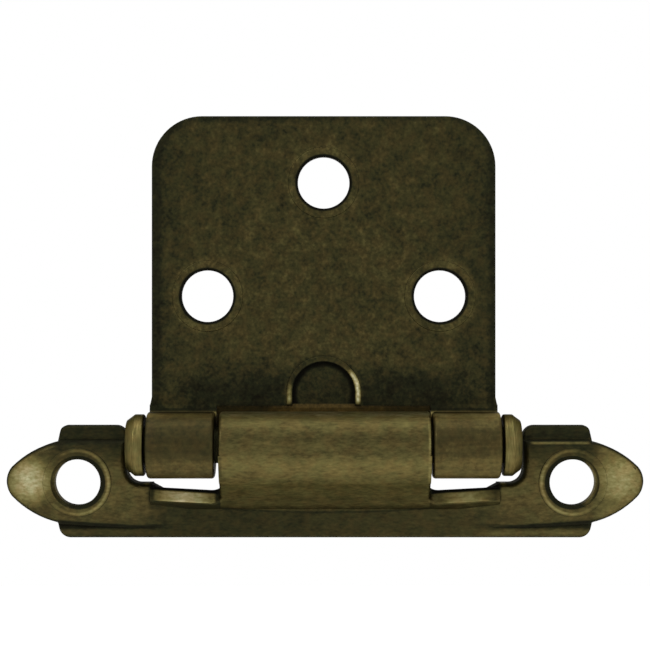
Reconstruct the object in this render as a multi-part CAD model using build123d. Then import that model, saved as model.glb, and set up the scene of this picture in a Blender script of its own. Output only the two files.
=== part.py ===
# Self-closing flush hinge for an overlay cabinet door, in millimetres.
# X runs along the hinge pin, Z runs up towards the door leaf, and the visible front faces -Y.
# The origin is midway between the two frame screws, on the plane that both leaves lie on.
from math import acos, atan2, cos, degrees, hypot, radians, sin, sqrt, tan
import os

from build123d import *

# Sheet, pin and fits
sheet = 1.6             # thickness of both leaves
pin_d = 3.9             # pin shank
pin_fit = 0.05          # radial clearance of the shank in every knuckle
side_shift = -0.15      # where the door leaf stands along the pin, within its side play

# Closing spring
spring_t = 0.5          # blade thickness
spring_fit = 0.05       # blade to the round of the centre knuckle
spring_back_gap = 0.05  # blade to the plane behind the hinge
spring_side_gap = 0.02  # blade to the side of the cut-out
spring_top_gap = 0.02   # its shoulders to the upper edge of the cut-out
spring_tail_deg = 28.0  # how far the blade wraps below the pin
spring_corner_r = 1.5   # corners of the blade's tail
cam_flat = 0.3          # depth of the flat on the centre knuckle's back

# Barrel
pin_z = 4.18            # pin axis above the frame screws
knuckle_r = pin_d / 2 + pin_fit + sheet
pin_y = -(knuckle_r + spring_fit + spring_t + spring_back_gap)
roll_gap = 0.3          # slit left where a rolled edge comes back to its own sheet
centre_knuckle_w = 22.7
knuckle_gap = 0.36      # side play at each end of the centre knuckle
edge_r = 0.35           # rolled-over edge that the press leaves on the knuckles
plate_edge_r = 0.3      # the same on the front of the flat sheet
rim_rounding = 0.85     # share of a raised rim's height that its rounded edge takes

# Pin heads
head_d = 6.65
head_t = 1.95
head_gap = 0.25         # head to the end of an outer knuckle
head_end_d = 5.3        # diameter of the outer face of a head
head_crown = 0.9        # length of the taper towards the outer face
head_edge_r = 0.22

# Door leaf
door_w = 37.6
door_rise = 35.8        # top edge above the pin axis
door_corner_r = 5.5
door_knuckle_flare = 0.2    # how far an outer knuckle stands out past the plate's side
door_flare_rise = 0.9       # height over which the plate widens to that
cutout_rise = 4.15      # upper edge of the cut-out above the pin axis
door_hole_d = 5.65
door_hole_edge_r = 0.25
door_hole_spacing = 25.4
door_hole_rise = 16.1   # lower pair of holes above the pin axis
door_hole_step = 12.4   # upper hole above the lower pair
door_sink = 0.7         # countersink on the back of each hole
door_rim_w = 1.05       # raised ring round each hole, on the front
door_rim_h = 0.12

# Half-moon pocket that holds the spring's tongue
tongue_r = 3.6
tongue_fit = 0.05
tongue_top_rise = 9.1   # top of the tongue above the pin axis
pocket_floor = 0.75     # sheet left behind the pocket
pocket_lip = 0.2        # how far the lip closes over the tongue's edge
pocket_rim_w = 0.7
pocket_rim_h = 0.18

# Frame leaf
frame_length = 69.85
frame_bottom = -6.1
frame_top = 6.15        # upper edge of the two tabs
frame_screw_spacing = 53.9
frame_screw_d = 5.0
frame_sink_d = 6.3      # mouth of the countersink
frame_rim_w = 0.6       # raised ring round each screw hole
frame_rim_proud = 0.1
window_gap = 0.25       # side play of the pin's heads in the opening for the barrel
window_x = door_w / 2 + door_knuckle_flare + head_gap + head_t + abs(side_shift) + window_gap
window_z = -0.1         # lower edge of that opening beside the tabs
window_corner_r = 1.5
crease_z = -3.0         # fold from the flat band to the ramp that rises to the knuckle
ramp_tilt = 52.0        # how far the ramp leans out of the flat
ramp_blend = 15.0       # where the ramp's bend meets the round, below the front of the knuckle
lip_z = -2.4            # front of the lip's cut edge, beside the centre strap
lip_rise = 0.85         # how much longer the lip is at its outer end, along the ramp
lip_face_tilt = 15.0    # how far the lip's cut face looks up from straight ahead
sill_run = 2.6          # sill of the opening, from the lip's end to the tab
lip_end_x = window_x - sill_run
lip_edge_r = 0.3
tab_outer_r = 0.8
tab_inner_r = 1.3
foot_corner_r = 1.3
band_taper = 0.4        # how much shorter the leaf is at its upper and lower edges
strap_corner_r = 1.0    # where the centre strap leaves the lip

# Raised wings of the frame leaf
wing_rise = 1.3         # how far the crest stands in front of the flat band
wing_crest_x = 26.5
wing_half_h = 4.6       # half height of the raised part beside the tabs
wing_sag = 0.55         # how much lower its upper and lower edges are than the crest
wing_tip_fall = 1.75    # how much lower the pointed end is than the crest
wing_inner_x = 13.5     # where the raised part runs out towards the middle
wing_foot_dip = 0.9     # how far its lower edge drops by then
wing_edge_r = 0.65
wing_margin = 1.5       # wall round the hollow at the back

# Pointed ends of the frame leaf
finial_length = 5.7
finial_half_h = 4.4
finial_step = 0.3       # run of the small step from the wing's edge to the finial's
shoulder_back = 2.5     # a point on the outline, back from the tip
shoulder_half_h = 3.08
cheek_back = 0.62       # a second point nearer the tip
cheek_half_h = 1.62
frame_band_x = frame_length / 2 - finial_length

# Shapes that cut or join
past = 1.0              # how far a cutting shape runs past what it cuts
lap = 0.2               # how far two stretches of one sheet run into each other


def polar(radius, angle, centre=Vector(pin_y, pin_z)):
    """Point in Y and Z at an angle about a centre: 0 is the back, 90 the top, 180 the front."""
    return centre + radius * Vector(cos(radians(angle)), sin(radians(angle)))


def tangent_angle(y, z, radius, side):
    """Angle at which a line from (y, z) touches the circle round the pin axis."""
    dy, dz = y - pin_y, z - pin_z
    return degrees(atan2(dz, dy)) + side * degrees(acos(radius / hypot(dy, dz)))


def face_distance(y, z, angle):
    """How far from the pin axis a flat face through (y, z) lies, when it faces that angle."""
    return (y - pin_y) * cos(radians(angle)) + (z - pin_z) * sin(radians(angle))


def on_face(y, distance, angle):
    """Point at depth y on a flat face that faces an angle, at a distance from the pin axis."""
    return Vector(y, pin_z + (distance - (y - pin_y) * cos(radians(angle))) / sin(radians(angle)))


def ring_sector(inner, outer, start, end, centre=Vector(pin_y, pin_z)):
    """Section of a bent sheet about a centre, between two angles."""
    middle = (start + end) / 2
    corners = [polar(r, angle, centre) for angle in (start, end) for r in (inner, outer)]
    outline = Line(corners[0], corners[1])
    outline += ThreePointArc(corners[1], polar(outer, middle, centre), corners[3])
    outline += Line(corners[3], corners[2])
    outline += ThreePointArc(corners[2], polar(inner, middle, centre), corners[0])
    return make_face(outline)


def roll(start, sheet_angle, sheet_distance):
    """Section of a rolled knuckle, from start round the pin and almost back to its own sheet."""
    closing = degrees(acos((sheet_distance - roll_gap) / knuckle_r))
    return ring_sector(knuckle_r - sheet, knuckle_r, start, sheet_angle - 360 + closing)


def along_pin(section, x_from, x_to):
    """A section in Y and Z, drawn out between two places along the pin."""
    return Pos(x_from, 0, 0) * extrude(Plane.YZ * section, x_to - x_from)


def from_front(outline, y_back, y_front):
    """An outline in X and Z, between two depths with y_front the nearer to the viewer."""
    return Pos(0, y_back, 0) * extrude(Plane.XZ * outline, y_back - y_front)


def round_bar(x, z, diameter, y_back, y_front):
    """A round bar along Y."""
    return from_front(Pos(x, z) * Circle(diameter / 2), y_back, y_front)


def cone_bar(x, z, back_d, front_d, y_back, y_front):
    """A cone along Y, for a countersink."""
    length = y_back - y_front
    cone = Cone(back_d / 2, front_d / 2, length, align=(Align.CENTER, Align.CENTER, Align.MIN))
    return Pos(x, y_back, z) * Rot(90, 0, 0) * cone


def mirrored(solid):
    """A solid and its mirror image across the middle of the hinge."""
    return solid + mirror(solid, Plane.YZ)


def ends_of(solid):
    """The edges round the two end faces of a rolled knuckle, on its outside only."""
    middle_r = knuckle_r - sheet / 2
    ends = solid.faces().filter_by(Axis.X)
    rounds = [e for face in ends for e in face.edges().filter_by(GeomType.CIRCLE)]
    return [e for e in rounds if e.radius > middle_r]


def door_knuckle(x_from, x_to):
    """One outer knuckle: the sheet leans forward below the plate and rolls under the pin."""
    lean = tangent_angle(0, pin_z + cutout_rise, knuckle_r, -1)
    inner = knuckle_r - sheet
    web = Polyline(
        polar(knuckle_r, lean),
        (0, pin_z + cutout_rise),
        (-sheet, pin_z + cutout_rise),
        on_face(-sheet, inner, lean),
        polar(inner, lean),
        close=True,
    )
    knuckle = along_pin(roll(lean, lean, inner), x_from, x_to)
    knuckle = fillet(ends_of(knuckle), edge_r)
    return knuckle + along_pin(make_face(web), x_from, x_to)


def half_moon(radius, low_z, centre_z):
    """A half-round end on straight sides, open downwards, in X and Z."""
    outline = Polyline((-radius, centre_z), (-radius, low_z), (radius, low_z), (radius, centre_z))
    outline += ThreePointArc((radius, centre_z), (0, centre_z + radius), (-radius, centre_z))
    return make_face(outline)


def door_leaf():
    """Flat plate with three holes, a half-moon pocket and two rolled knuckles."""
    cut_x = centre_knuckle_w / 2 + knuckle_gap
    side_x = door_w / 2
    outer_x = side_x + door_knuckle_flare
    top = pin_z + door_rise
    mouth = pin_z + cutout_rise
    side = Polyline((side_x, top), (side_x, mouth + door_flare_rise), (outer_x, mouth))
    level = Line((-side_x, top), (side_x, top)) + Line((-outer_x, mouth), (outer_x, mouth))
    plate = make_face(side + mirror(side, Plane.YZ) + level)
    plate = fillet(plate.vertices().group_by(Axis.Y)[-1], door_corner_r)
    leaf = from_front(plate, 0, -sheet)
    leaf = fillet(leaf.edges().group_by(Axis.Y)[0].sort_by(Axis.Z)[1:], plate_edge_r)
    hole_z = pin_z + door_hole_rise
    half = door_hole_spacing / 2
    for x, z in ((-half, hole_z), (half, hole_z), (0, hole_z + door_hole_step)):
        rim = round_bar(x, z, door_hole_d + 2 * door_rim_w, -sheet / 2, -sheet - door_rim_h)
        leaf += fillet(rim.edges().group_by(Axis.Y)[0], door_rim_h * rim_rounding)
        leaf -= round_bar(x, z, door_hole_d, past, -sheet - past)
        mouth_edge = leaf.edges().filter_by(GeomType.CIRCLE).group_by(Axis.Y)[0]
        leaf = fillet(mouth_edge.filter_by(lambda e: e.radius == door_hole_d / 2), door_hole_edge_r)
        leaf -= cone_bar(x, z, door_hole_d + 2 * door_sink, door_hole_d, 0, -door_sink)
    centre_z = pin_z + tongue_top_rise - tongue_r
    opening_r = tongue_r - pocket_lip
    rim = half_moon(opening_r + pocket_rim_w, mouth, centre_z) - half_moon(opening_r, mouth, centre_z)
    raised = from_front(rim, -sheet / 2, -sheet - pocket_rim_h)
    leaf += fillet(raised.edges().group_by(Axis.Y)[0], pocket_rim_h * rim_rounding)
    tongue_front = -pocket_floor - spring_t
    leaf -= from_front(half_moon(opening_r, mouth - past, centre_z), -pocket_floor, -sheet - past)
    leaf -= from_front(
        half_moon(tongue_r + tongue_fit, mouth - past, centre_z), -pocket_floor, tongue_front - tongue_fit
    )
    return Pos(side_shift, 0, 0) * (leaf + mirrored(door_knuckle(cut_x, outer_x)))


def closing_spring():
    """Spring blade: tongue in the pocket, shoulders in the cut-out, tail round the knuckle's back."""
    mouth = pin_z + cutout_rise
    inner = knuckle_r + spring_fit
    outer = inner + spring_t
    back = -pocket_floor
    front = back - spring_t
    bend = mouth - spring_t / 2
    lean = tangent_angle(front, bend, inner, -1)
    tongue_top = pin_z + tongue_top_rise
    strip = Polyline(
        polar(inner, lean),
        (front, bend),
        (front, tongue_top),
        (back, tongue_top),
        on_face(back, outer, lean),
        polar(outer, lean),
        close=True,
    )
    section = make_face(strip) + ring_sector(inner, outer, lean, -spring_tail_deg)
    half_w = centre_knuckle_w / 2 + knuckle_gap - spring_side_gap
    blade = along_pin(section, -half_w, half_w)
    neck = mouth - spring_top_gap
    drop = 2 * knuckle_r
    body = Pos(0, neck - drop / 2) * Rectangle(2 * half_w, drop)
    outline = body + half_moon(tongue_r, neck, tongue_top - tongue_r)
    blade &= from_front(outline, past, pin_y)
    across = [e for e in blade.edges() if e.length < 2 * spring_t]
    tail_corners = ShapeList(across).group_by(Axis.Z)[0]
    return Pos(side_shift, 0, 0) * fillet(tail_corners, spring_corner_r)


def hinge_pin():
    """Pin with a formed head at each end, drawn as half a section and turned."""
    shank_x = door_w / 2 + door_knuckle_flare + head_gap
    end_x = shank_x + head_t
    half = Polyline(
        (-end_x, 0),
        (-end_x, head_end_d / 2),
        (-end_x + head_crown, head_d / 2),
        (-shank_x, head_d / 2),
        (-shank_x, pin_d / 2),
        (shank_x, pin_d / 2),
        (shank_x, head_d / 2),
        (end_x - head_crown, head_d / 2),
        (end_x, head_end_d / 2),
        (end_x, 0),
        close=True,
    )
    pin = revolve(make_face(half), Axis.X)
    rims = [e for e in pin.edges().filter_by(GeomType.CIRCLE) if e.radius > pin_d / 2 + pin_fit]
    return Pos(side_shift, pin_y, pin_z) * fillet(rims, head_edge_r)


def arc_radius(run, fall):
    """Radius of an arc that falls by so much over a run from its crest."""
    return (run**2 + fall**2) / (2 * fall)


def crown(depth):
    """Domed block whose front lies a depth behind the raised wing's surface."""
    crest = -(sheet + wing_rise) + depth
    across_r = arc_radius(wing_half_h, wing_sag) - depth
    inner_run = wing_crest_x - wing_inner_x
    inner_r = arc_radius(inner_run, wing_rise) - depth
    tip_run = frame_length / 2 - wing_crest_x
    tip_r = arc_radius(tip_run, wing_tip_fall) - depth
    edge_z = wing_half_h + wing_foot_dip + past
    edge_y = crest + across_r - sqrt(across_r**2 - edge_z**2)
    section = Polyline((edge_y, edge_z), (past, edge_z), (past, -edge_z), (edge_y, -edge_z))
    section += ThreePointArc((edge_y, -edge_z), (crest, 0), (edge_y, edge_z))
    face = Pos(wing_crest_x, 0, 0) * (Plane.YZ * make_face(section))
    inner_axis = Axis((wing_crest_x, crest + inner_r, 0), (0, 0, 1))
    tip_axis = Axis((wing_crest_x, crest + tip_r, 0), (0, 0, 1))
    inner_turn = 2 * degrees(atan2(inner_run, inner_r))
    tip_turn = 2 * degrees(atan2(tip_run, tip_r))
    return revolve(face, inner_axis, -inner_turn) + revolve(face, tip_axis, tip_turn)


def wing_outline():
    """The raised part of one wing, seen from the front: pointed end, body and a tail to the middle."""
    tip = frame_length / 2
    foot = -wing_half_h
    line = Polyline(
        (frame_band_x, finial_half_h),
        (frame_band_x - finial_step, wing_half_h),
        (window_x, wing_half_h),
        (window_x, window_z),
        (lip_end_x, window_z),
        (wing_inner_x, crease_z),
        (wing_inner_x, foot - wing_foot_dip),
        (frame_band_x - finial_step, foot),
        (frame_band_x, -finial_half_h),
    )
    cheek = Vector(tip - cheek_back, cheek_half_h)
    shoulder = Vector(tip - shoulder_back, shoulder_half_h)
    line += ThreePointArc((frame_band_x, -finial_half_h), (shoulder.X, -shoulder.Y), (cheek.X, -cheek.Y))
    line += ThreePointArc((cheek.X, -cheek.Y), (tip, 0), (cheek.X, cheek.Y))
    line += ThreePointArc((cheek.X, cheek.Y), (shoulder.X, shoulder.Y), (frame_band_x, finial_half_h))
    outline = make_face(line)
    corner = outline.vertices().sort_by_distance((window_x, window_z))[0]
    return fillet(corner, window_corner_r)


def raised_wing():
    """The dome of one wing with its softened front edges."""
    dome = from_front(wing_outline(), 0, -(sheet + wing_rise + past)) & crown(0)
    front = [e for e in dome.edges().filter_by(Axis.Y, reverse=True) if e.center().Y < -sheet / 2]
    return fillet(front, wing_edge_r)


def wing_hollow():
    """The space behind one raised wing, which leaves the sheet at its own thickness."""
    inside = offset(wing_outline(), -wing_margin)
    return from_front(inside, past, -(sheet + wing_rise + past)) & crown(sheet)


def screw_rim(x):
    """Raised ring round a frame screw hole, which follows the dome of the wing."""
    front = -(sheet + wing_rise + past)
    ring = round_bar(x, 0, frame_sink_d + 2 * frame_rim_w, -sheet, front) & crown(-frame_rim_proud)
    rim = [e for e in ring.edges() if e.center().Y < -sheet and e.length > frame_rim_w]
    return fillet(rim, frame_rim_proud * rim_rounding)


def screw_hole(x):
    """Countersunk hole for one frame screw."""
    front = -(sheet + wing_rise + frame_rim_proud)
    depth = (frame_sink_d - frame_screw_d) / 2
    hole = round_bar(x, 0, frame_screw_d, past, front - past)
    sink = cone_bar(x, 0, frame_screw_d, frame_sink_d, front + depth, front)
    return hole + sink + round_bar(x, 0, frame_sink_d, front, front - past)


def window_side():
    """What is pierced from the ramp on one side: it leaves the lip and frees the centre strap."""
    tilt = radians(ramp_tilt)
    half_w = centre_knuckle_w / 2
    lip_y = -sheet - (lip_z - crease_z) * tan(tilt)
    across = Plane((0, lip_y, lip_z), x_dir=(1, 0, 0), z_dir=(0, -cos(tilt), -sin(tilt)))
    end_x = lip_end_x + past
    top = 2 * knuckle_r
    side = make_face(Polyline((half_w, 0), (end_x, lip_rise), (end_x, top), (half_w, top), close=True))
    corner = side.vertices().group_by(Axis.X)[0].sort_by(Axis.Y)[0]
    punch = (0, sin(radians(lip_face_tilt)), cos(radians(lip_face_tilt)))
    return extrude(across * fillet(corner, strap_corner_r), 2 * sheet, dir=punch, both=True)


def centre_strap():
    """The sheet that rises from the crease, pierced beside the strap, and rolled round the pin."""
    facing = 180 + ramp_tilt
    front = face_distance(-sheet, crease_z, facing)
    leave = 180 + ramp_blend
    share = cos(radians(facing - leave))
    bend_r = (front - knuckle_r * share) / (1 - share)
    bend_centre = polar(knuckle_r - bend_r, leave)
    ramp = Polyline(
        (-sheet, crease_z),
        polar(bend_r, facing, bend_centre),
        polar(bend_r - sheet, facing, bend_centre),
        on_face(0, front - sheet, facing),
        (0, crease_z),
        close=True,
    )
    half_w = centre_knuckle_w / 2
    knuckle = along_pin(roll(leave, facing, front - sheet), -half_w, half_w)
    knuckle = fillet(ends_of(knuckle), edge_r)
    flat_y = pin_y + knuckle_r - cam_flat
    knuckle -= Pos(0, flat_y + knuckle_r / 2, pin_z) * Box(2 * (half_w + past), knuckle_r, 2 * knuckle_r)
    bend = along_pin(ring_sector(bend_r - sheet, bend_r, leave, facing, bend_centre), -half_w, half_w)
    rising = along_pin(make_face(ramp), -lip_end_x, lip_end_x) - mirrored(window_side())
    ahead = Vector(0, -cos(radians(lip_face_tilt)), sin(radians(lip_face_tilt)))
    cuts = [f for f in rising.faces().filter_by(GeomType.PLANE) if f.normal_at().dot(ahead) > 0.98]
    long_edges = [e for face in cuts for e in face.edges() if e.length > 2 * sheet]
    return knuckle + bend + fillet(long_edges, lip_edge_r)


def flat_band():
    """The flat of the frame leaf: a long foot and the two tabs, at the plane behind the hinge."""
    low_x = frame_band_x - band_taper
    foot = make_face(
        Polyline(
            (-frame_band_x, crease_z),
            (frame_band_x, crease_z),
            (frame_band_x, -finial_half_h),
            (low_x, frame_bottom),
            (-low_x, frame_bottom),
            (-frame_band_x, -finial_half_h),
            close=True,
        )
    )
    foot = fillet(foot.vertices().group_by(Axis.Y)[0], foot_corner_r)
    tab = make_face(
        Polyline(
            (window_x, crease_z),
            (frame_band_x, crease_z),
            (frame_band_x, finial_half_h),
            (frame_band_x - band_taper, frame_top),
            (window_x, frame_top),
            close=True,
        )
    )
    inner_corner, outer_corner = tab.vertices().group_by(Axis.Y)[-1].sort_by(Axis.X)
    tab = fillet(outer_corner, tab_outer_r)
    tab = fillet(tab.vertices().sort_by_distance(inner_corner)[0], tab_inner_r)
    sill_from = lip_end_x - lap
    sill_w = window_x - sill_from
    sill_h = window_z - crease_z
    sill = Pos(sill_from + sill_w / 2, crease_z + sill_h / 2) * Rectangle(sill_w, sill_h)
    side = tab + sill
    band = from_front(foot + side + mirror(side, Plane.YZ), 0, -sheet)
    front = band.edges().group_by(Axis.Y)[0]
    outer = [e for e in front if abs(e.center().X) > lip_end_x or e.center().Z < crease_z]
    return fillet(outer, plate_edge_r)


def frame_leaf():
    """One stamped leaf: flat band, raised wings with pointed ends, lip and rolled centre strap."""
    leaf = flat_band() + mirrored(raised_wing())
    leaf += centre_strap()
    screw_x = frame_screw_spacing / 2
    leaf += mirrored(screw_rim(screw_x))
    leaf -= mirrored(wing_hollow())
    leaf -= mirrored(screw_hole(screw_x))
    return leaf


def main():
    """Build every piece and write it."""
    os.makedirs("parts", exist_ok=True)
    pieces = {
        "frame_leaf": frame_leaf(),
        "door_leaf": door_leaf(),
        "hinge_pin": hinge_pin(),
        "closing_spring": closing_spring(),
    }
    for name, piece in pieces.items():
        export_step(piece, f"parts/{name}.step")


main()
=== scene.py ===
import bpy
import math
from functools import reduce
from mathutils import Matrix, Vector
from operator import mul

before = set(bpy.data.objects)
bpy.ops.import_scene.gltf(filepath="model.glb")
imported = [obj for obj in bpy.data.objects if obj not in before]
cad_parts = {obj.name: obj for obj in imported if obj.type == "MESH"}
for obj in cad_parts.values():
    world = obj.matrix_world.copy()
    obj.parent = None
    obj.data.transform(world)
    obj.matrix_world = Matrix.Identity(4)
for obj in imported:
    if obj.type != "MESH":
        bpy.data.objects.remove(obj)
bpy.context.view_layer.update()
mm = 0.001
screenWhite = 255
print("hinge loaded:", ", ".join(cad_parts))


class Val:  # a shader socket that takes part in plain maths
    def __init__(self, look, socket):
        self.look = look
        self.socket = socket

    def math(self, operation, *values):
        return self.look.node("ShaderNodeMath", {"operation": operation}, *values)

    def atLeast(self, low):
        return self.math("MAXIMUM", self, low)

    def atMost(self, high):
        return self.math("MINIMUM", self, high)

    def __add__(self, other):
        return self.math("ADD", self, other)

    __radd__ = __add__

    def __sub__(self, other):
        return self.math("SUBTRACT", self, other)

    def __rsub__(self, other):
        return self.math("SUBTRACT", other, self)

    def __mul__(self, other):
        return self.math("MULTIPLY", self, other)

    __rmul__ = __mul__

    def __abs__(self):
        return self.math("ABSOLUTE", self)

    def step(self, start, full):  # 0 at start, 1 at full, smooth between, whichever is the higher
        smooth = {"interpolation_type": "SMOOTHSTEP"}
        return self.look.node("ShaderNodeMapRange", smooth, self, start, full, 0.0, 1.0)

    def band(self, low, high, soft):  # 1 between low and high
        return self.step(low - soft, low + soft) * self.step(high + soft, high - soft)

    def over(self, limits):  # two limits for a step, three for a band
        return self.band(*limits) if len(limits) == 3 else self.step(*limits)


class Look:  # one node tree, of a material or the world
    def __init__(self, tree):
        self.tree = tree
        tree.nodes.clear()

    def node(self, kind, settings, *values, out=0, **named):
        made = self.tree.nodes.new(kind)
        for key, value in settings.items():
            if key == "stops":
                self.fillRamp(made.color_ramp, value)
            else:
                setattr(made, key, value)
        for key, value in list(enumerate(values)) + list(named.items()):
            socket = made.inputs[key if isinstance(key, int) else key.replace("_", " ")]
            if isinstance(value, Val):
                self.tree.links.new(value.socket, socket)
            elif value is not None:
                socket.default_value = value
        return Val(self, made.outputs[out]) if made.outputs else None

    def fillRamp(self, ramp, stops):
        while len(ramp.elements) > 1:
            ramp.elements.remove(ramp.elements[-1])
        for index, place in enumerate(sorted(stops)):
            stop = ramp.elements.new(place) if index else ramp.elements[0]
            stop.position = place
            stop.color = (*stops[place], 1.0)

    def mix(self, factor, first, second):  # blends two colours
        made = self.tree.nodes.new("ShaderNodeMix")
        made.data_type = "RGBA"
        for name, value in (("Factor_Float", factor), ("A_Color", first), ("B_Color", second)):
            socket = next(s for s in made.inputs if s.identifier == name)
            if isinstance(value, Val):
                self.tree.links.new(value.socket, socket)
            else:
                socket.default_value = value if isinstance(value, float) else (*value, 1.0)
        return Val(self, next(s for s in made.outputs if s.identifier == "Result_Color"))

    def vector(self, operation, *values, out=0, **named):
        return self.node("ShaderNodeVectorMath", {"operation": operation}, *values, out=out, **named)

    def axes(self, vector):
        return [self.node("ShaderNodeSeparateXYZ", {}, vector, out=i) for i in range(3)]

    def place(self):  # x, y and z in millimetres in the hinge's own frame, which ride with the piece
        self.point = self.vector("SCALE", self.node("ShaderNodeTexCoord", {}, out=3), Scale=1 / mm)
        return self.axes(self.point)

    def facing(self):  # where the surface faces, in the same frame
        turn = {"vector_type": "NORMAL", "convert_from": "WORLD", "convert_to": "OBJECT"}
        normal = self.node("ShaderNodeNewGeometry", {}, out=1)
        return self.axes(self.node("ShaderNodeVectorTransform", turn, normal))

    def noise(self, grain, stretch=(1, 1, 1), roughness=0.6):  # swings about 0
        at = self.node("ShaderNodeMapping", {}, self.point, grain["shift"], None, stretch)
        scale, detail = grain["perMm"], grain["detail"]
        made = self.node("ShaderNodeTexNoise", {}, at, Scale=scale, Detail=detail, Roughness=roughness)
        return made - 0.5

    def away(self, x, z, centre=(0.0, 0.0)):  # distance from a place, seen from the front
        flat = self.node("ShaderNodeCombineXYZ", {}, x - centre[0], 0.0, z - centre[1])
        return self.vector("LENGTH", flat, out=1)

    def openness(self, distance, samples=8):  # 1 in the open, less in a corner of the piece itself
        near = {"samples": samples, "only_local": True}
        return self.node("ShaderNodeAmbientOcclusion", near, Distance=distance * mm, out=1)

    def profile(self, value, points):  # a shade that changes from place to place along a line
        low, high = min(points), max(points)
        stops = {(at - low) / (high - low): (shade / screenWhite,) * 3 for at, shade in points.items()}
        line = self.node("ShaderNodeValToRGB", {"stops": stops}, (value - low) * (1 / (high - low)))
        return line * screenWhite


def newMaterial(name):
    material = bpy.data.materials.new(name)
    material.use_nodes = True
    return material, Look(material.node_tree)


def lay(shade, mask, value):  # lays a shade over another through a mask
    return shade * (1 - mask) + mask * value


def either(first, second):  # joins two masks
    return lay(first, second, 1.0)


def sides(right, pair):  # the left value of the pair, and the right one where right is 1
    return pair[0] + right * (pair[1] - pair[0])


def linear(*screen):  # screen colour to the linear one that shaders take, by the usual screen curve
    levels = [c / screenWhite for c in screen]
    return tuple(c / 12.92 if c <= 0.04 else ((c + 0.055) / 1.055) ** 2.4 for c in levels)


# A piece is painted in zones, each over the ones before it. A zone has limits for the places that bound
# it, such as z, and a shade: one number, a pair for left and right, or a line of shades along a place.
# The two sides differ as the lamps fall on them, so a pair paints light and shade. Masks named in "on"
# bound it too, values named in "times" and the pair in "light" make it lighter or darker, and zones of
# its own lie inside it. Places are in millimetres, and facings go up to 1.
def zoneMask(at, zone):
    masks = [at[name].over(limits) for name, limits in zone.items() if name in at]
    return reduce(mul, masks + [at[name] for name in zone.get("on", ())])


def zoneShade(m, at, zone):
    shade = zone["shade"]
    if isinstance(shade, dict):
        shade = m.profile(at[zone["along"]], shade)
    elif isinstance(shade, tuple):
        shade = sides(at["right"], shade)
    if "light" in zone:
        shade = shade * sides(at["right"], zone["light"])
    for name in zone.get("times", ()):
        shade = shade * at[name]
    for inner in zone.get("zones", {}).values():
        shade = lay(shade, zoneMask(at, inner), zoneShade(m, at, inner))
    return shade


# Antique brass. A shade is how light the finish looks on screen, from black to bare brass; many zones below
# paint light and shade into it.
plating = {
    "shades": {
        0: (4, 4, 3),
        15: (18, 17, 11),
        30: (34, 34, 21),
        49: (60, 54, 32),
        79: (97, 87, 52),
        106: (126, 116, 77),
        135: (153, 144, 109),
        200: (214, 206, 176),
    },
    "cool": (0.96, 1.03, 0.97),
    "warm": (1.03, 0.99, 0.93),
    "rust": (1.3, 1.05, 0.75),
    "cloud": {"perMm": 0.42, "detail": 3.0, "shift": (0, 0, 0), "depth": 0.5},
    "mottle": {"perMm": 1.6, "detail": 3.0, "shift": (3, 1, 8), "depth": 0.75},
    "grain": {"perMm": 3.4, "detail": 2.0, "shift": (2, 9, 4), "depth": 0.7},
    "warmth": {"perMm": 0.672, "detail": 2.0, "shift": (7, 3, 5), "turn": (-0.12, 0.14)},
    # darker in the piece's own corners and creases: patina kept in the hollows, and painted shade
    "corner": {"reach": 1.0, "openness": (0.76, 0.22), "depth": 0.75},
    "dull": {"shade": (44, 16), "metal": 0.35, "rough": 0.4},  # dark shades are duller
    "brownMetal": 0.7,  # and so are brown ones
    "rough": 0.4,
    "mottleRough": 0.3,
    "bump": {"strength": 0.22, "height": 0.02, "grain": 0.5},
    "edgeTint": (0.45, 0.44, 0.42, 1.0),
    "clear": 0.2,
}


def antiqueBrass(name, look, placesOf):
    material, m = newMaterial(name)
    at = placesOf(m, look, *m.place())
    streak = look.get("streak", (1, 1, 1))
    cloud = m.noise(plating["cloud"])
    mottle = m.noise(plating["mottle"], streak)
    grain = m.noise(plating["grain"], streak)
    warm = m.noise(plating["warmth"]).step(*plating["warmth"]["turn"])

    patches = cloud * plating["cloud"]["depth"]
    patches = patches + mottle * plating["mottle"]["depth"] + grain * plating["grain"]["depth"]
    # Corners and creases are darkened: partly patina in the hollows, partly painted shade.
    patinaAndShade = plating["corner"]
    corner = m.openness(patinaAndShade["reach"]).step(*patinaAndShade["openness"])
    shade = zoneShade(m, at, look) * (1 + at["uneven"] * patches) * (1 - patinaAndShade["depth"] * corner)

    top = max(plating["shades"])
    stops = {level / top: linear(*colour) for level, colour in plating["shades"].items()}
    colour = m.node("ShaderNodeValToRGB", {"stops": stops}, shade * (1 / top))
    hue = m.mix(warm, plating["cool"], plating["warm"])
    hue = m.mix(at["brown"], hue, plating["rust"])

    dull = shade.step(*plating["dull"]["shade"])
    metal = (1 - plating["dull"]["metal"] * dull) * (1 - plating["brownMetal"] * at["brown"])
    rough = plating["rough"] + plating["mottleRough"] * abs(mottle) + plating["dull"]["rough"] * dull
    pits = plating["bump"]
    height = mottle + pits["grain"] * grain
    bump = m.node("ShaderNodeBump", {}, pits["strength"], pits["height"] * mm, Height=height)
    shader = m.node(
        "ShaderNodeBsdfPrincipled", {}, Base_Color=m.vector("MULTIPLY", colour, hue), Metallic=metal,
        Roughness=rough, Normal=bump,
        Specular_IOR_Level=plating["clear"], Specular_Tint=plating["edgeTint"],
    )
    m.node("ShaderNodeOutputMaterial", {}, shader)
    return material


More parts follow.
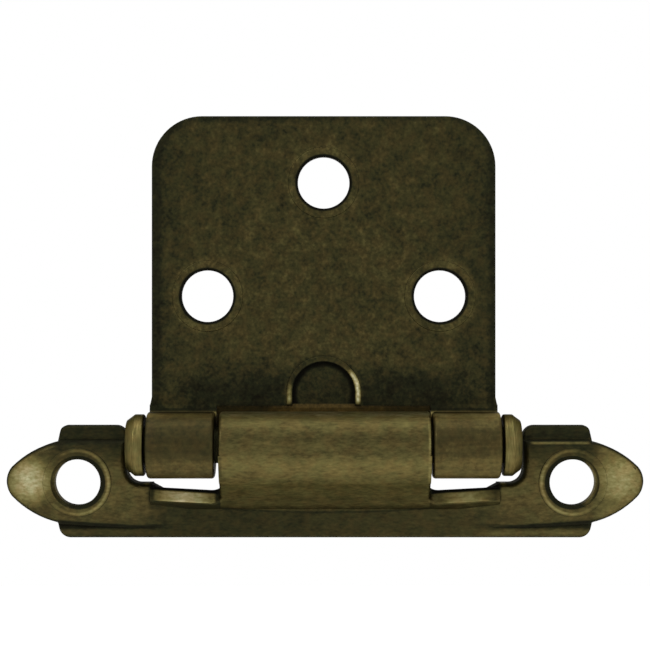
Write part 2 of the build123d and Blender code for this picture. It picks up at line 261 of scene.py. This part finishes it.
frameLook = {
    # the flat foot, lighter on the right where more light falls: painted light
    "shade": (36, 44),
    "zones": {
        # the foot's ends: a painted highlight on the strip along the bottom edge and painted shadow under
        # the wing's step, lighter on the right
        "footEnd": {
            "side": (15.0, 21.0), "z": (-4.5, -4.7), "light": (0.9, 1.2), "along": "z",
            "shade": {-6.05: 30, -5.85: 46, -5.6: 54, -5.3: 48, -5.0: 26, -4.6: 22},
        },
        "tab": {"side": (20.0, 21.0), "z": (4.5, 4.9), "shade": 31},
        # the raised wing, lightest in the middle and painted darker toward its top edge as the light falls
        "wing": {
            "on": ["raised"], "along": "z",
            "shade": {-5.0: 46, -3.2: 54, -1.0: 60, 1.0: 60, 2.2: 50, 3.2: 42, 4.4: 28},
            "zones": {
                "tail": {"side": (20.8, 15.0), "shade": (25, 40)},
                # the pointed ends, darker at their sloping edges as painted shade, with a painted highlight
                # on rubbed brass in the dome's middle
                "pointedEnd": {"side": (29.0, 30.6), "shade": (48, 66)},
                "domeMiddle": {"dome": (3.6, 0.5), "shade": (134, 104)},
                # painted shadow under the wing's lower edge
                "under": {"lowEdge": (-3.95, -4.25), "side": (17.5, 29.4, 1.0), "shade": 22},
            },
        },
        # painted highlight along the rounded top edge of the wing, mostly on the right
        "tabLine": {"side": (22.5, 28.8, 0.3), "z": (4.15, 4.75, 0.1), "on": ["raised"], "shade": (28, 68)},
        # painted shade on the window's side walls
        "outline": {"front": (0.93, 0.5), "on": ["rim"], "shade": 24},
        "lip": {
            "side": (11.5, 19.1, 0.3), "z": (-3.0, 0.2, 0.1), "shade": (36, 50),
            "zones": {"shadow": {"lipRise": (-1.4, -1.2), "shade": 12}},
        },
        # painted highlight on the cut edge of each lip, which faces up and forward
        "lipCut": {
            "cutFacing": (0.82, 0.93), "side": (11.9, 18.6, 0.2), "lipRise": (-2.55, -1.3, 0.15),
            "light": (1.0, 0.7), "along": "side",
            "shade": {11.6: 50, 12.6: 84, 13.6: 118, 15.4: 130, 17.0: 116, 18.0: 84, 19.0: 44},
        },
        # painted reflections: bright and dark bands along the ramp and knuckle, with a painted highlight
        # near the top
        "strap": {  # from the crease over the ramp to the top of the knuckle
            "side": (11.5, 11.3), "fromCrease": (-0.05, 0.15), "along": "z",
            "shade": {
                -3.2: 42, -3.0: 50, -2.85: 58, -2.4: 64, -1.8: 54, -0.2: 51, 0.5: 58, 1.3: 66,
                2.2: 72, 3.0: 66, 3.4: 57, 4.0: 60, 4.5: 61, 5.1: 52, 5.9: 58, 6.4: 60, 6.9: 61,
                7.25: 78, 7.5: 108, 7.8: 110,
            },
        },
        # painted shade along the crease below the strap
        "creaseLine": {"fromCrease": (-0.16, 0.06, 0.1), "side": (13.0, 9.0), "shade": 32},
        # painted highlights on the strap's rounded side edges, brighter on the right
        "strapEdge": {"side": (11.0, 11.3, 0.12), "z": (0.5, 7.2, 0.5), "shade": (56, 84)},
        # painted shade inside the countersink, and painted light on its outward slope, brighter on the
        # right
        "countersink": {
            "sink": (3.0, 2.75), "shade": 26,
            "zones": {"outerSide": {"outward": (0.6, 2.4), "shade": (60, 82)}},
        },
        # painted highlight on the ring round each screw hole, less at its top
        "ring": {
            "hole": (3.3, 3.6, 0.12), "outward": (4.0, -1.5), "on": ["raised"], "shade": 92,
            "zones": {"upper": {"z": (1.0, 3.0), "shade": 70}},
        },
        "back": {"faceY": (0.3, 0.7), "shade": 36},
    },
    "turn": (-12.0, 14.0),  # x over which the left shades pass into the right ones
    "raised": {"y": (-1.62, -2.3), "side": (28.8, 29.4)},
    "rim": {"side": (19.3, 20.0), "z": (-5.5, -5.7)},
    "domeCentre": (32.3, 0.15),
    "lowEdge": {"slope": 0.07, "from": 29.0},
    "lipLine": {"slope": 0.07, "from": 11.4, "cutY": -0.966, "cutZ": 0.259},  # and how its cut edge faces
    "crease": {"z": -3.3, "curve": 0.0035},  # of the fold below the strap
    "screwX": 26.95,
    "sinkShift": 0.22,  # the countersink looks this much nearer the middle than its ring
    "uneven": 0.8,
    "streak": (0.5, 1.2, 1.2),
}


def framePlaces(m, look, x, y, z):
    side = abs(x)
    faceY, faceZ = m.facing()[1:]
    raised, rim = look["raised"], look["rim"]
    lowEdge, lip, crease = look["lowEdge"], look["lipLine"], look["crease"]
    return {
        "z": z,
        "side": side,
        "right": x.step(*look["turn"]),
        "raised": either(y.over(raised["y"]), side.over(raised["side"])),
        "rim": either(side.over(rim["side"]), z.over(rim["z"])),
        "dome": m.away(side, z, look["domeCentre"]),
        "lowEdge": z + lowEdge["slope"] * (lowEdge["from"] - side),
        "lipRise": z - lip["slope"] * (side - lip["from"]),
        "cutFacing": faceY * lip["cutY"] + faceZ * lip["cutZ"],
        "fromCrease": z - (crease["z"] + crease["curve"] * (x * x)),
        "hole": m.away(side, z, (look["screwX"], 0.0)),
        "sink": m.away(side, z, (look["screwX"] - look["sinkShift"], 0.0)),
        "outward": side - look["screwX"],
        "front": abs(faceY),
        "faceY": faceY,
        "uneven": look["uneven"],
        "brown": 0.0,
    }


doorLook = {
    "shade": 41,
    "zones": {
        "middle": {"fromMiddle": (17.0, 5.0), "shade": 45},
        # painted shade: the plate darkens toward the knuckles, where the barrel shades it
        "band": {"z": (13.3, 10.3), "shade": 28},
        "nearSides": {"across": (12.5, 17.5), "shade": 37},
        # painted shade along the plate's rounded edge, wider on the left
        "edge": {"fromEdge": (-0.2, 0.7), "shade": 27},
        "halo": {"hole": (3.1, 4.2, 0.4), "shade": 49},
        # painted shade at the mouth of each screw hole
        "holeEdge": {"hole": (3.2, 3.0), "shade": 14},
        "pocketLip": {"pocket": (3.4, 4.3, 0.2), "z": (8.0, 8.2), "shade": 38},
        # painted shadow inside the half-moon's rim
        "pocketEdge": {"pocket": (3.3, 3.5, 0.08), "z": (8.0, 8.2), "shade": 14},
        # painted highlight on the half-moon's rim, brighter on the right
        "pocketRim": {"pocket": (3.54, 3.98, 0.22), "z": (8.3, 9.0), "on": ["lit"], "shade": (92, 166)},
        # the rolled knuckles: painted reflections in bands along their height and a painted highlight near
        # the top, lighter on the right
        "knuckle": {
            "on": ["rolled"], "light": (0.9, 1.07), "times": ["bands"], "along": "z",
            "shade": {
                0.5: 60, 1.2: 64, 1.7: 58, 2.6: 58, 3.2: 50, 3.6: 45, 4.3: 48, 5.0: 42, 5.7: 43,
                6.4: 48, 6.9: 50, 7.15: 60, 7.4: 82, 7.6: 86, 7.72: 42, 7.85: 34,
            },
        },
        "seam": {"z": (7.8, 8.05, 0.06), "across": (11.5, 11.7), "shade": 27},
        "back": {"faceY": (0.3, 0.7), "shade": 40},
    },
    "turn": (-1.0, 1.0),  # x over which the left shades pass into the right ones
    "patch": (0.0, 21.0),  # where the plate is lighter
    "middleX": -0.15,  # of the leaf, which stands a little to the left
    "halfW": 18.8,
    "cornerR": 5.5,
    "edgeW": (1.35, 1.05),  # how wide the dark edge is, left and right
    "edgeTop": 40.4,  # a little above the plate's own top, which makes the edge narrower there
    "edgeTurn": (-16.0, 4.0),
    "holes": ((-12.7, 20.28), (12.7, 20.28), (0.0, 32.68)),
    "pocketZ": 9.68,  # middle of the half-moon's round
    "pocketRound": (9.58, 9.68),  # its sides are straight below this
    "lit": ((11.4, 9.5), (12.8, 11.2)),  # heights at which its bright rim fades, left and right
    "rolled": (7.95, 7.75),  # top of the knuckles
    "bands": {"perMm": 1.5, "detail": 2.0, "shift": (0, 0, 0), "stretch": (0.08, 1, 1), "depth": 0.5},
    "rolledBrown": 0.22,
    "stain": {"x": (-18.9, -18.2, 0.3), "z": (4.0, 6.8, 0.5), "brown": 0.6},  # on the left knuckle
    "uneven": (1.25, 0.65),  # on the plate and on the knuckles
    "streak": (0.8, 0.8, 0.8),
}
doorX = doorLook["middleX"]
pocketCentre = (doorX, doorLook["pocketZ"])


def plateEdge(m, look, x, z):  # how far a place is past the line where the plate's dark edge starts
    cornerR = look["cornerR"]
    cornerX = look["halfW"] - cornerR
    cornerZ = look["edgeTop"] - cornerR
    corner = m.away((abs(x - doorX) - cornerX).atLeast(0.0), (z - cornerZ).atLeast(0.0))
    return corner - cornerR + sides(x.step(*look["edgeTurn"]), look["edgeW"])


def doorPlaces(m, look, x, y, z):
    across = abs(x - doorX)
    right = x.step(*look["turn"])
    first, second, third = [m.away(x, z, (doorX + holeX, holeZ)) for holeX, holeZ in look["holes"]]
    litLeft, litRight = [z.over(limits) for limits in look["lit"]]
    rolled = z.over(look["rolled"])
    bands = look["bands"]
    stain = zoneMask({"x": x, "z": z}, look["stain"]) * look["stain"]["brown"]
    return {
        "z": z,
        "across": across,
        "right": right,
        "fromMiddle": m.away(x, z, look["patch"]),
        "fromEdge": plateEdge(m, look, x, z),
        "hole": first.atMost(second).atMost(third),
        "pocket": lay(across, z.over(look["pocketRound"]), m.away(x, z, pocketCentre)),
        "lit": lay(litLeft, right, litRight),
        "rolled": rolled,
        "bands": 1 + bands["depth"] * m.noise(bands, bands["stretch"]),
        "faceY": m.facing()[1],
        "uneven": sides(rolled, look["uneven"]),
        "brown": either(rolled * look["rolledBrown"], stain),
    }


pinLook = {
    # the shank is dark as it shows in the shaded gaps between the knuckles: painted shade
    "shade": 32,
    "zones": {
        # painted highlight across each head
        "head": {
            "across": (19.2, 19.3), "along": "across", "times": ["upHead"],
            "shade": {19.1: 56, 19.5: 76, 20.0: 84, 20.5: 76, 21.2: 52},
        },
    },
    # painted shade: the heads darker toward their top and bottom
    "upHead": {0.8: 0.56, 1.8: 0.94, 4.2: 1.0, 6.4: 1.02, 7.5: 0.6},  # how light the heads are by height
    "streak": (5.0, 0.3, 0.3),
}


def pinPlaces(m, look, x, y, z):
    upHead = m.profile(z, look["upHead"])
    return {"across": abs(x - doorX), "upHead": upHead, "uneven": 1.0, "brown": 0.0}


springLook = {
    # dark spring steel, darkened further as painted shade where it lies in the half-moon and behind the
    # plate
    "shade": 33,
    "zones": {
        # painted shadow round the tongue's edge in the half-moon
        "tongueEdge": {"pocket": (2.7, 3.2), "z": (8.4, 8.6), "shade": 14},
        # the brown strip below the plate, its sides painted darker as shade and its middle lighter where it
        # comes forward
        "band": {
            "z": (8.6, 8.4), "shade": 36,
            "zones": {"middle": {"fromMiddle": (6.7, 5.7), "shade": 50}},
        },
        "back": {"faceY": (0.3, 0.7), "shade": 34},
    },
    "middleX": 0.2,
    "brown": 0.9,
    "brownZ": (8.6, 8.4),
}


def springPlaces(m, look, x, y, z):
    return {
        "z": z,
        "pocket": m.away(x, z, pocketCentre),
        "fromMiddle": abs(x - look["middleX"]),
        "faceY": m.facing()[1],
        "uneven": 1.0,
        "brown": z.over(look["brownZ"]) * look["brown"],
    }


finishes = {
    "frame_leaf": ("frameBrass", frameLook, framePlaces),
    "door_leaf": ("doorBrass", doorLook, doorPlaces),
    "hinge_pin": ("pinBrass", pinLook, pinPlaces),
    "closing_spring": ("springSteel", springLook, springPlaces),
}
for nodeName, finish in finishes.items():
    brass = antiqueBrass(*finish)
    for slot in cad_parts[nodeName].material_slots:
        slot.material = brass
    print("finish on", nodeName)


studio = {
    "white": 1.0,
    "floorZ": -300.0,  # mm
    "floorSize": 4.0,  # m, as for the lamps
    "paper": 0.8,
    "floorGlow": 0.45,
    "skyTop": 1.0,
    "skyBottom": 0.7,
    "skyTurn": (-0.6, 0.9),
    "lamps": (  # name, place, width, watts
        ("key", (-0.35, -0.45, 0.45), 0.35, 1.25),
        ("fill", (0.5, -0.4, 0.2), 0.4, 0.5),
        ("top", (0.0, -0.05, 0.6), 0.5, 1.0),
    ),
}
pureWhite = (1.0, 1.0, 1.0, 1.0)


def seenRays(m):  # 1 for rays that show the background: from the camera, in metal or through glass
    camera, glossy, transmission = [m.node("ShaderNodeLightPath", {}, out=out) for out in (0, 3, 6)]
    return (camera + glossy + transmission).atMost(1.0)


def makeFloor():
    bpy.ops.mesh.primitive_plane_add(size=studio["floorSize"], location=(0, 0, studio["floorZ"] * mm))
    floor = bpy.context.object
    floor.name = "floor"
    material, m = newMaterial("palePaper")
    paper = m.node("ShaderNodeBsdfDiffuse", {}, (*[studio["paper"]] * 3, 1.0))
    glow = m.node("ShaderNodeEmission", {}, pureWhite, studio["floorGlow"])
    bright = m.node("ShaderNodeAddShader", {}, paper, glow)
    m.node("ShaderNodeOutputMaterial", {}, m.node("ShaderNodeMixShader", {}, seenRays(m), paper, bright))
    floor.data.materials.append(material)


def makeWorld():
    world = bpy.data.worlds.new("studio")
    bpy.context.scene.world = world
    world.use_nodes = True
    m = Look(world.node_tree)
    up = m.axes(m.node("ShaderNodeTexCoord", {}))[2]
    sky = sides(up.step(*studio["skyTurn"]), (studio["skyBottom"], studio["skyTop"]))
    level = lay(sky, seenRays(m), studio["white"])
    m.node("ShaderNodeOutputWorld", {}, m.node("ShaderNodeBackground", {}, pureWhite, level))


def makeLamps():
    for name, place, width, watts in studio["lamps"]:
        data = bpy.data.lights.new(name, "AREA")
        data.shape = "DISK"
        data.size = width
        data.energy = watts
        lamp = bpy.data.objects.new(name, data)
        lamp.location = place
        lamp.rotation_euler = (-Vector(place)).to_track_quat("-Z", "Y").to_euler()
        bpy.context.collection.objects.link(lamp)


makeFloor()
makeWorld()
makeLamps()
print("studio set")


camera = {
    "place": (0.0, -200.0, 17.13),  # mm, level and square to the front
    "focalPx": 1816.0,
    "imagePx": 650,
    "sensor": 36.0,
    "clipStart": 0.01,
}


def makeCamera():
    data = bpy.data.cameras.new("camera")
    data.sensor_width = camera["sensor"]
    data.lens = camera["focalPx"] / camera["imagePx"] * camera["sensor"]
    data.clip_start = camera["clipStart"]
    view = bpy.data.objects.new("camera", data)
    view.location = [v * mm for v in camera["place"]]
    view.rotation_euler = (math.pi / 2, 0, 0)
    bpy.context.collection.objects.link(view)
    bpy.context.scene.camera = view


makeCamera()
bpy.context.scene.view_settings.view_transform = "Standard"
print("camera set")
